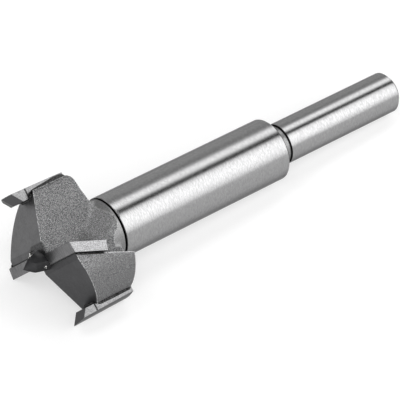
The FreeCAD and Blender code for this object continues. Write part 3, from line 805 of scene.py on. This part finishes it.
drop_tree, entry = new_shape_tree("braze_droplets", DROP_INPUTS)
scattered = put(drop_tree, "FunctionNodeRandomValue", (
    (-1.0, -1.0, -1.0), (1.0, 1.0, 1.0)), data_type="FLOAT_VECTOR")
drop_tree.links.new(entry["Seed"], scattered.inputs["Seed"])
offset = put(drop_tree, "ShaderNodeVectorMath", (scattered.outputs[0],), operation="SCALE")
drop_tree.links.new(entry["Spread"], offset.inputs["Scale"])
position = put(drop_tree, "GeometryNodeInputPosition").outputs[0]
middle = put(drop_tree, "GeometryNodeAttributeStatistic", (entry["Line"],),
             data_type="FLOAT_VECTOR")
drop_tree.links.new(position, middle.inputs["Attribute"])
place = put(drop_tree, "ShaderNodeVectorMath", (middle.outputs["Mean"], offset.outputs[0]),
            operation="ADD")
points = put(drop_tree, "GeometryNodePoints", (entry["Count"], place.outputs[0])).outputs[0]
print("the points of the droplets are scattered")

# %% [markdown]
# Each point gets a ball of its own size. The balls are made real before the noise dents
# them, because only then does each of them lie in another part of the noise.

# %% Balls and dents
size = put(drop_tree, "FunctionNodeRandomValue", (), data_type="FLOAT")
drop_tree.links.new(entry["Smallest"], size.inputs[2])
drop_tree.links.new(entry["Largest"], size.inputs[3])
drop_tree.links.new(maths(drop_tree, "ADD", entry["Seed"], SIZE_SEED_STEP),
                    size.inputs["Seed"])
ball = put(drop_tree, "GeometryNodeMeshIcoSphere", (1.0, BALL_SUBDIVISIONS)).outputs[0]
balls = put(drop_tree, "GeometryNodeInstanceOnPoints", (
    points, None, ball, None, None, None, size.outputs[1])).outputs[0]
balls = put(drop_tree, "GeometryNodeRealizeInstances", (balls,)).outputs[0]
dents = put(drop_tree, "ShaderNodeTexNoise", (
    position, None, entry["Dents per metre"], 2.0, 0.5)).outputs[1]
pressed = put(drop_tree, "ShaderNodeVectorMath", (dents, (0.5, 0.5, 0.5)),
              operation="SUBTRACT")
pressed = put(drop_tree, "ShaderNodeVectorMath", (pressed.outputs[0],), operation="SCALE")
drop_tree.links.new(entry["Smallest"], pressed.inputs["Scale"])
balls = put(drop_tree, "GeometryNodeSetPosition", (
    balls, None, None, pressed.outputs[0])).outputs[0]
end_shape_tree(drop_tree, balls, entry["Finish"])
print("droplet tree:", len(drop_tree.nodes), "nodes")

# %% [markdown]
# The fuller cluster lies beside the second plate, inside the crust of flux, and a few
# droplets lie beside the first. A cluster is given by the ends of its line in the bit's
# frame, by the number of its droplets and by its seed.

# %% Clusters of droplets
DROPS = {
    "braze_drops_2": (((0.75, -4.25, -2.0), (0.75, -3.65, -2.1)), 15, 5),
    "braze_drops_1": (((-0.7, 1.75, 1.4), (-0.5, 1.65, 1.6)), 5, 11),
}
for name, (ends, count, seed) in DROPS.items():
    beads.append(grow(name, ends, drop_tree, {"Count": count, "Seed": seed}, silver))
    print(name, len(beads[-1].data.polygons), "faces")

# %% [markdown]
# ## Studio
#
# The bit lies on a plain white table. Ground steel shows its surroundings as bands that
# run along it, so the light is built as long soft boxes above and beside the table: a
# broad one on the camera's right, a narrow one overhead, and a dim room behind. The table
# is far wider than the bit, so that its edges stay out of the picture.

# %% Table
TABLE_HALF_WIDTH = 3.0

mesh = bpy.data.meshes.new("table")
corners = [(x * TABLE_HALF_WIDTH, y * TABLE_HALF_WIDTH, 0)
           for x, y in ((-1, -1), (1, -1), (1, 1), (-1, 1))]
mesh.from_pydata(corners, [], [(0, 1, 2, 3)])
table = bpy.data.objects.new("table", mesh)
bpy.context.scene.collection.objects.link(table)
print("table", 2 * TABLE_HALF_WIDTH, "m wide")

# %% [markdown]
# The table is pale paper. More light would make it white, but would also wash out the
# steel. So what the light alone leaves it short of white is added in its own material,
# only where the camera, a reflection or a view through something looks at it. The bit
# gets no more light from it that way, and its shadow stays.

# %% Paper of the table
PAPER_DARK, PAPER_LIGHT = (0.49, 0.49, 0.49), (0.51, 0.51, 0.51)
SHORT_OF_WHITE = 0.52
WHITE = (1.0, 1.0, 1.0, 1.0)

paper, tree, shader = new_finish("table_white")
shader.inputs["Roughness"].default_value = 0.9
shader.inputs["Specular IOR Level"].default_value = 0.1
paper_place = put(tree, "ShaderNodeTexCoord").outputs["Object"]
paper_noise = put(tree, "ShaderNodeTexNoise", (paper_place, None, 40.0, 2.0, 0.5)).outputs[0]
tree.links.new(blend_colours(tree, paper_noise, PAPER_DARK, PAPER_LIGHT),
               shader.inputs["Base Color"])
ray = put(tree, "ShaderNodeLightPath").outputs
seen = maths(tree, "MAXIMUM", maths(tree, "MAXIMUM", ray["Is Camera Ray"], ray["Is Glossy Ray"]),
             ray["Is Transmission Ray"])
shader.inputs["Emission Color"].default_value = WHITE
tree.links.new(maths(tree, "MULTIPLY", seen, SHORT_OF_WHITE), shader.inputs["Emission Strength"])
mesh.materials.append(paper)
print("paper: glows by", SHORT_OF_WHITE, "where it is seen")

# %% [markdown]
# ### Soft boxes
#
# Lamps could stand for the soft boxes, but each would have a size, a place and a strength
# to balance against the others. The world holds them all as one strip of brightness
# against the angle round the bit's length, which is just how the round steel shows them.
# Each stop of the strip has its angle in degrees from straight up towards the camera's
# right, and the brightness there.

# %% Soft boxes
LIGHT_BANDS = [
    (-180, 0.9), (-112, 1.3), (-90, 1.12), (-76, 0.86), (-62, 0.76), (-52, 0.64), (-44, 0.5),
    (-36, 0.6), (-30, 1.2), (-23, 2.5), (-12, 2.7), (-6, 2.3), (0, 0.9), (5, 0.02), (14, 0.02),
    (18, 1.2), (24, 2.4), (34, 3.0), (44, 3.2), (60, 3.1), (74, 2.5), (86, 1.7), (93, 1.0),
    (180, 0.9),
]
BRIGHTEST = 3.3

world = bpy.data.worlds.new("studio")
bpy.context.scene.world = world
world.use_nodes = True
tree = world.node_tree
background = tree.nodes["Background"]
direction = put(tree, "ShaderNodeTexCoord").outputs["Generated"]
up = dot(tree, direction, (-AXIS.z, 0.0, AXIS.x))
aside = dot(tree, direction, (0.0, -1.0, 0.0))
angle = maths(tree, "ARCTAN2", aside, up)
share = put(tree, "ShaderNodeMapRange", (angle, -math.pi, math.pi, 0.0, 1.0)).outputs[0]
ramp = put(tree, "ShaderNodeValToRGB", (share,))
stops = ramp.color_ramp.elements
for number, (degrees, brightness) in enumerate(LIGHT_BANDS):
    place = (degrees + 180) / 360
    stop = stops[number] if number < 2 else stops.new(place)
    stop.position = place
    level = brightness / BRIGHTEST
    stop.color = (level, level, level, 1.0)
print("light bands:", len(LIGHT_BANDS))

# %% [markdown]
# The soft boxes have ends. They fade where they stand square to the bit, which is also
# straight above the table, and again far out along it, and this keeps the light on the
# table at a plain level. Where the camera itself looks past the table it sees white. The
# plain view transform keeps colours as they are.

# %% Ends of the soft boxes
SQUARE_END, FAR_END = (0.22, 0.38), (0.84, 0.66)
LEFT_AT_ENDS = 0.35

lengthways = maths(tree, "ABSOLUTE", dot(tree, direction, AXIS))
reach = blend_numbers(tree, between(tree, lengthways, SQUARE_END, FAR_END), LEFT_AT_ENDS, 1.0)
strength = maths(tree, "MULTIPLY", maths(tree, "MULTIPLY", ramp.outputs[0], BRIGHTEST), reach)
camera_ray = put(tree, "ShaderNodeLightPath").outputs["Is Camera Ray"]
tree.links.new(blend_numbers(tree, camera_ray, strength, 1.0), background.inputs["Strength"])
background.inputs["Color"].default_value = WHITE
bpy.context.scene.view_settings.view_transform = "Standard"
print("soft boxes fade at their ends")

# %% [markdown]
# ## Finish
#
# The beads ride on the only body.

# %% Finish
for piece in beads:
    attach(piece, "root")
